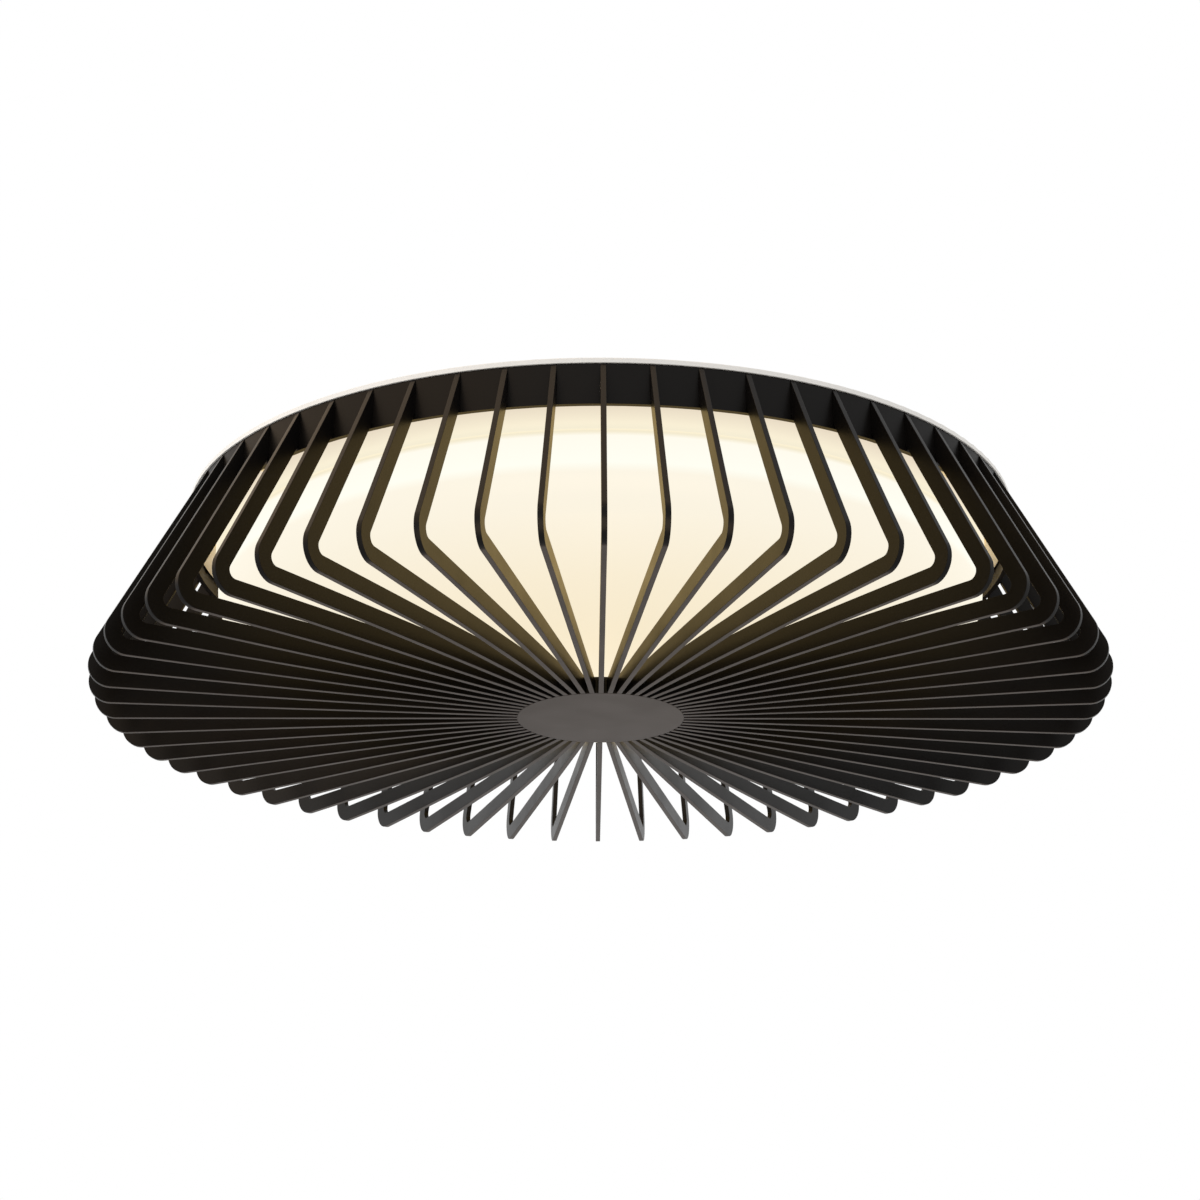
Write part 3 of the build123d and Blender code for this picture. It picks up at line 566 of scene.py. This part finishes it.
@dataclass
class RibCage:
    """The sixty flat ribs that hang from the ring and run in to the hub. Sizes in mm."""

    overall_r: float = 300.0
    # 0.001 less than the CAD's height, so that rounding leaves the ribs inside its box.
    overall_height: float = 120.199
    ring_outer_r: float = 246.0
    ring_inner_r: float = 243.0
    ring_top_z: float = -3.3
    hub_r: float = 49.5
    rib_t: float = 3.0
    rib_depth: float = 9.3
    elbow_r: float = 13.2
    inner_elbow_r: float = 4.5
    elbow_steps: int = 14
    tab_below_top: float = 6.0
    tab_height: float = 10.0
    tab_end_gap: float = 0.3
    tongue_length: float = 5.7
    tongue_low: float = 2.1
    tongue_high: float = 7.9
    eased: float = 0.22
    groups: int = 12
    ribs_in_group: int = 5

    def outline(self) -> list[tuple[float, float]]:
        """The rib's corners as (radius, height), with the two elbows as the 2nd and 9th."""
        bottom = -self.overall_height
        leg_in = self.overall_r - self.elbow_r - self.ring_outer_r
        drop = self.ring_top_z - bottom
        lean = math.atan2(leg_in, drop - self.elbow_r)
        lean += math.asin(self.elbow_r / math.hypot(leg_in, drop - self.elbow_r))
        corner = self.ring_outer_r + drop * math.tan(lean)
        leg = self.rib_depth / math.cos(lean)
        inner_corner = corner - leg - self.rib_depth * math.tan(lean)
        foot_z = bottom + (corner - leg - self.ring_outer_r) / math.tan(lean)
        tongue_r = self.hub_r - self.tongue_length
        tab_r = self.ring_inner_r + self.tab_end_gap
        tab_top = self.ring_top_z - self.tab_below_top
        tab_bottom = tab_top - self.tab_height
        return [
            (self.ring_outer_r, self.ring_top_z),
            (corner, bottom),
            (self.hub_r, bottom),
            (self.hub_r, bottom + self.tongue_low),
            (tongue_r, bottom + self.tongue_low),
            (tongue_r, bottom + self.tongue_high),
            (self.hub_r, bottom + self.tongue_high),
            (self.hub_r, bottom + self.rib_depth),
            (inner_corner, bottom + self.rib_depth),
            (self.ring_outer_r, foot_z),
            (self.ring_outer_r, tab_bottom),
            (tab_r, tab_bottom),
            (tab_r, tab_top),
            (self.ring_outer_r, tab_top),
        ]

    def elbow(
        self,
        bm: bmesh.types.BMesh,
        corner: Vector,
        before: Vector,
        after: Vector,
        radius: float,
    ) -> list[bmesh.types.BMVert]:
        """Sweep a corner's arc about its centre.

        Args:
            bm: The mesh that takes the arc.
            corner: The sharp corner's place.
            before: The corner before it on the outline.
            after: The corner after it.
            radius: The arc's radius in mm.

        Returns:
            The arc's vertices, in the outline's order.
        """
        first, second = (before - corner).normalized(), (after - corner).normalized()
        half = first.angle(second) / 2
        centre = corner + (first + second).normalized() * (radius / math.sin(half))
        start = corner + first * (radius / math.tan(half))
        known = set(bm.verts)
        bmesh.ops.spin(
            bm,
            geom=[bm.verts.new(start)],
            cent=centre,
            axis=second.cross(first).normalized(),
            angle=math.pi - 2 * half,
            steps=self.elbow_steps,
        )
        arc = [v for v in bm.verts if v not in known]
        return sorted(arc, key=lambda v: (v.co - start).length)

    def rib(self) -> bmesh.types.BMesh:
        """Build one rib, lying along +X, in mm.

        Returns:
            The rib as a closed plate with eased edges.
        """
        bm = bmesh.new()
        corners = [Vector((r, -self.rib_t / 2, z)) for r, z in self.outline()]
        elbows = {1: self.elbow_r, 8: self.inner_elbow_r}
        edge: list[bmesh.types.BMVert] = []
        for place, corner in enumerate(corners):
            if place in elbows:
                before, after = corners[place - 1], corners[place + 1]
                edge += self.elbow(bm, corner, before, after, elbows[place])
            else:
                edge.append(bm.verts.new(corner))
        bm.faces.new(edge)
        grown = bmesh.ops.extrude_face_region(bm, geom=list(bm.faces), use_keep_orig=True)
        side = [v for v in grown["geom"] if isinstance(v, bmesh.types.BMVert)]
        bmesh.ops.translate(bm, verts=side, vec=(0, self.rib_t, 0))
        bmesh.ops.recalc_face_normals(bm, faces=bm.faces)
        ease_edges(bm, self.eased)
        return bm

    def build(self) -> None:
        """Build the groups of ribs, one piece for each CAD node."""
        single = self.rib()
        plate = bpy.data.meshes.new("rib_plate")
        single.to_mesh(plate)
        single.free()
        pitch = 2 * math.pi / (self.groups * self.ribs_in_group)
        for group in range(self.groups):
            bm = bmesh.new()
            for place in range(self.ribs_in_group):
                turn = -math.pi / 2 + (group * self.ribs_in_group + place) * pitch
                known = set(bm.verts)
                bm.from_mesh(plate)
                bmesh.ops.rotate(
                    bm,
                    verts=[v for v in bm.verts if v not in known],
                    cent=(0, 0, 0),
                    matrix=Matrix.Rotation(turn, 3, "Z"),
                )
            bmesh.ops.scale(bm, verts=bm.verts, vec=(MM, MM, MM))
            name = f"ribs_{group + 1:02d}"
            place_piece(f"{name}_plates", bm, Slot.BLACK_CAGE, Body.CAGE, [name])
        bpy.data.meshes.remove(plate)


@dataclass
class Diffuser:
    """The opal drum with its collar and bayonet lugs. Sizes in mm."""

    wall_r: float = 227.5
    collar_r: float = 230.0
    wall: float = 2.5
    top_z: float = -10.7
    step_z: float = -32.9
    edge_z: float = -71.5
    dome: float = 3.2
    dome_points: tuple[tuple[float, float], ...] = ((0.0, 1.0), (0.3, 0.91), (0.6, 0.64))
    edge_r: float = 20.0
    edge_steps: int = 12
    step_round: float = 0.5
    rim_round: float = 0.6
    small_steps: int = 3
    lug_reach: float = 5.5
    lug_width: float = 16.0
    lug_z: tuple[float, float] = (-16.3, -10.7)
    lug_angle: float = 45.0
    lug_round: float = 0.6
    steps: int = 180

    def section(self) -> bmesh.types.BMesh:
        """Build the drum's half section in the XZ plane.

        Returns:
            A flat face with rounded corners, in mm.
        """
        bm = bmesh.new()
        inner = self.wall_r - self.wall
        shelf_z = self.step_z + self.wall
        bottom = [(share, self.edge_z - self.dome * drop) for share, drop in self.dome_points]
        outline = [(self.wall_r * share, z) for share, z in bottom]
        outline += [
            (self.wall_r, self.edge_z),
            (self.wall_r, self.step_z),
            (self.collar_r, self.step_z),
            (self.collar_r, self.top_z),
            (self.collar_r - self.wall, self.top_z),
            (self.collar_r - self.wall, shelf_z),
            (inner, shelf_z),
            (inner, self.edge_z + self.wall),
        ]
        outline += [(inner * share, z + self.wall) for share, z in reversed(bottom)]
        corners = [bm.verts.new((r, 0, z)) for r, z in outline]
        bm.faces.new(corners)
        rounding = (
            (corners[3], self.edge_r, self.edge_steps),
            (corners[10], self.edge_r - self.wall, self.edge_steps),
            (corners[4], self.step_round, self.small_steps),
            (corners[5], self.step_round, self.small_steps),
            (corners[6], self.rim_round, self.small_steps),
            (corners[7], self.rim_round, self.small_steps),
        )
        for corner, radius, segments in rounding:
            first, second = (e.other_vert(corner).co - corner.co for e in corner.link_edges)
            reach = radius / math.tan(first.angle(second) / 2)
            round_off(bm, [corner], reach, segments, "VERTICES")
        return bm

    def add_lugs(self, bm: bmesh.types.BMesh) -> None:
        """Add the four bayonet lugs at the collar's top.

        Args:
            bm: The turned shell, in mm.
        """
        low, high = self.lug_z
        for quarter in range(4):
            turn = Matrix.Rotation(math.radians(self.lug_angle + 90 * quarter), 4, "Z")
            reach = self.lug_reach + self.wall / 2
            middle = Vector((self.collar_r - self.wall / 2 + reach / 2, 0, (low + high) / 2))
            block = bmesh.ops.create_cube(
                bm,
                size=1,
                matrix=turn
                @ Matrix.Translation(middle)
                @ Matrix.Diagonal((reach, self.lug_width, high - low, 1)),
            )
            edges = {e for v in block["verts"] for e in v.link_edges}
            round_off(bm, edges, self.lug_round, 2)

    def build(self) -> bpy.types.Object:
        """Turn the section round the light's axis and add the lugs.

        Returns:
            The diffuser.
        """
        bm = self.section()
        bmesh.ops.delete(bm, geom=list(bm.faces), context="FACES_ONLY")
        axis_edges = [e for e in bm.edges if all(abs(v.co.x) < 1e-6 for v in e.verts)]
        bmesh.ops.delete(bm, geom=axis_edges, context="EDGES")
        bmesh.ops.spin(
            bm,
            geom=list(bm.verts) + list(bm.edges),
            cent=(0, 0, 0),
            axis=(0, 0, 1),
            angle=2 * math.pi,
            steps=self.steps,
            use_merge=True,
        )
        bmesh.ops.remove_doubles(bm, verts=bm.verts, dist=1e-4)
        bmesh.ops.recalc_face_normals(bm, faces=bm.faces)
        self.add_lugs(bm)
        bmesh.ops.scale(bm, verts=bm.verts, vec=(MM, MM, MM))
        return place_piece("opal_drum", bm, Slot.OPAL, Body.DIFFUSER, ["diffuser"])


@dataclass
class CutPlates:
    """Cut plate pieces whose CAD shape is right: their edges are eased in a copy."""

    eased_mm: dict[str, float] = field(
        default_factory=lambda: {
            "cage_ring": 0.35,
            "hub_plate": 0.3,
            "hub_cap": 0.3,
        }
    )

    def build(self, node: str, slot: Slot, body: Body) -> bpy.types.Object:
        """Copy one CAD node, merge its loose triangles and ease its edges.

        Args:
            node: The CAD node.
            slot: The finish's slot.
            body: The body that it rides on.

        Returns:
            The eased piece.
        """
        bm = bmesh.new()
        bm.from_mesh(frame["nodes"][node].data)
        bmesh.ops.scale(bm, verts=bm.verts, vec=(1 / MM, 1 / MM, 1 / MM))
        bmesh.ops.remove_doubles(bm, verts=bm.verts, dist=MERGED_MM)
        bmesh.ops.dissolve_limit(bm, angle_limit=FLAT, verts=bm.verts, edges=bm.edges)
        ease_edges(bm, self.eased_mm[node])
        bmesh.ops.triangulate(bm, faces=[f for f in bm.faces if len(f.verts) > 4])
        bmesh.ops.scale(bm, verts=bm.verts, vec=(MM, MM, MM))
        return place_piece(f"{node}_eased", bm, slot, body, [node])


@dataclass
class Fittings:
    """The CAD nodes that keep their mesh and only get their finish."""

    def dress(self) -> None:
        """Give each CAD node that still shows the finish of its slot."""
        slots = {part["node"]: part["material_slot"] for part in frame["record"]["subparts"]}
        for name, node in frame["nodes"].items():
            if node.hide_render:
                continue
            node.data.materials.clear()
            node.data.materials.append(FINISHES[Slot(slots[name])].build())
            LOG.info("%s: finish %s", name, slots[name])


class LampUse(Enum):
    """What a soft box does: light the object, or only stand in its reflections."""

    LIGHT = "light"
    REFLECTION = "reflection"


@dataclass(frozen=True)
class SoftBox:
    """A flat soft lamp. Place and sizes in metres, radiance as a share of white."""

    name: str
    use: LampUse
    place: tuple[float, float, float]
    width: float
    height: float
    radiance: float
    colour: str = "#FFFFFF"


@dataclass
class Studio:
    """The floor, lamps, world and camera."""

    camera_place_mm: tuple[float, float, float] = (-10.06, -1522.78, -591.8)
    pitch: float = 0.31303
    yaw: float = -0.00661
    roll: float = -0.00103
    focal_px: float = 2688.545
    centre_px: tuple[float, float] = (600.507, 684.455)
    floor_z: float = -2.4
    floor_reach: float = 6.0
    world_light: float = 0.8
    middle: tuple[float, float, float] = (0.0, 0.0, -0.06)
    # The glows are the warm room that shows in the black paint: in front, above and behind.
    # The boxes light the white pan, more from the left.
    lamps: tuple[SoftBox, ...] = (
        SoftBox("front_glow", LampUse.REFLECTION, (0, -1.8, -1.05), 2.6, 1.7, 3.0, "#FFDFB8"),
        SoftBox("high_glow", LampUse.REFLECTION, (-0.7, -0.3, 1.1), 2.6, 2.6, 1.0, "#FFBF4B"),
        SoftBox("far_glow", LampUse.REFLECTION, (0, 2.6, -1.5), 3.4, 0.9, 0.55, "#FFAF50"),
        SoftBox("left_box", LampUse.LIGHT, (-2.2, -0.5, -0.1), 1.6, 1.6, 1.8),
        SoftBox("top_box", LampUse.LIGHT, (-1.2, -0.9, 1.8), 1.6, 1.6, 0.4),
    )

    def camera(self) -> None:
        """Place the camera below and in front of the light, as in the photograph."""
        data = bpy.data.cameras.new("camera")
        data.sensor_width = 36.0
        data.lens = self.focal_px / IMAGE_SIDE * data.sensor_width
        data.shift_x = (IMAGE_SIDE / 2 - self.centre_px[0]) / IMAGE_SIDE
        data.shift_y = (self.centre_px[1] - IMAGE_SIDE / 2) / IMAGE_SIDE
        camera = bpy.data.objects.new("camera", data)
        camera.matrix_world = (
            Matrix.Translation(Vector(self.camera_place_mm) * MM)
            @ Matrix.Rotation(self.yaw, 4, "Z")
            @ Matrix.Rotation(math.pi / 2 + self.pitch, 4, "X")
            @ Matrix.Rotation(self.roll, 4, "Z")
        )
        bpy.context.scene.collection.objects.link(camera)
        bpy.context.scene.camera = camera

    def world(self) -> None:
        """White where the camera and reflections see it, and softer as light."""
        world = bpy.data.worlds.new("studio_world")
        bpy.context.scene.world = world
        world.use_nodes = True
        tree = world.node_tree
        tree.nodes.clear()
        path = add_node(tree, "ShaderNodeLightPath")
        seen = add_node(
            tree,
            "ShaderNodeMath",
            operation="MAXIMUM",
            inputs={0: path.outputs["Is Camera Ray"], 1: path.outputs["Is Glossy Ray"]},
        )
        through = add_node(
            tree,
            "ShaderNodeMath",
            operation="MAXIMUM",
            inputs={0: seen.outputs[0], 1: path.outputs["Is Transmission Ray"]},
        )
        strength = add_node(
            tree,
            "ShaderNodeMapRange",
            inputs={
                "Value": through.outputs[0],
                "To Min": self.world_light,
                "To Max": 1.0,
            },
        )
        background = add_node(
            tree,
            "ShaderNodeBackground",
            inputs={"Color": (1, 1, 1, 1), "Strength": strength.outputs["Result"]},
        )
        add_node(
            tree, "ShaderNodeOutputWorld", inputs={"Surface": background.outputs["Background"]}
        )

    def floor(self) -> None:
        """A plain pale floor, as far below as in a room."""
        bm = bmesh.new()
        bmesh.ops.create_grid(bm, x_segments=1, y_segments=1, size=self.floor_reach)
        bmesh.ops.translate(bm, verts=bm.verts, vec=(0, 0, self.floor_z))
        mesh = bpy.data.meshes.new("floor")
        bm.to_mesh(mesh)
        bm.free()
        mesh.materials.append(Finish("pale_floor", "#F2F1EF", 0.8).build())
        floor = bpy.data.objects.new("floor", mesh)
        bpy.context.scene.collection.objects.link(floor)

    def lamp(self, lamp: SoftBox) -> None:
        """Hang one soft box so that it faces the light.

        Args:
            lamp: The soft box.
        """
        data = bpy.data.lights.new(lamp.name, "AREA")
        data.shape = "RECTANGLE"
        data.size, data.size_y = lamp.width, lamp.height
        data.color = linear(lamp.colour)[:3]
        data.energy = lamp.radiance * math.pi * lamp.width * lamp.height
        hung = bpy.data.objects.new(lamp.name, data)
        place = Vector(lamp.place)
        hung.matrix_world = Matrix.Translation(place) @ (
            (place - Vector(self.middle)).to_track_quat("Z", "Y").to_matrix().to_4x4()
        )
        hung.visible_camera = False
        hung.visible_glossy = lamp.use is LampUse.REFLECTION
        hung.visible_diffuse = lamp.use is LampUse.LIGHT
        bpy.context.scene.collection.objects.link(hung)

    def build(self) -> None:
        """Set up the whole studio."""
        self.camera()
        self.world()
        self.floor()
        for lamp in self.lamps:
            self.lamp(lamp)
        bpy.context.scene.view_settings.view_transform = "Standard"


def main() -> None:
    """Build the cage, the diffuser and the fittings, then the studio."""
    logging.basicConfig(level=logging.INFO, format="%(message)s")
    RibCage().build()
    Diffuser().build()
    plates = CutPlates()
    for node in plates.eased_mm:
        plates.build(node, Slot.BLACK_CAGE, Body.CAGE)
    Fittings().dress()
    Studio().build()


if __name__ == "__main__":
    main()
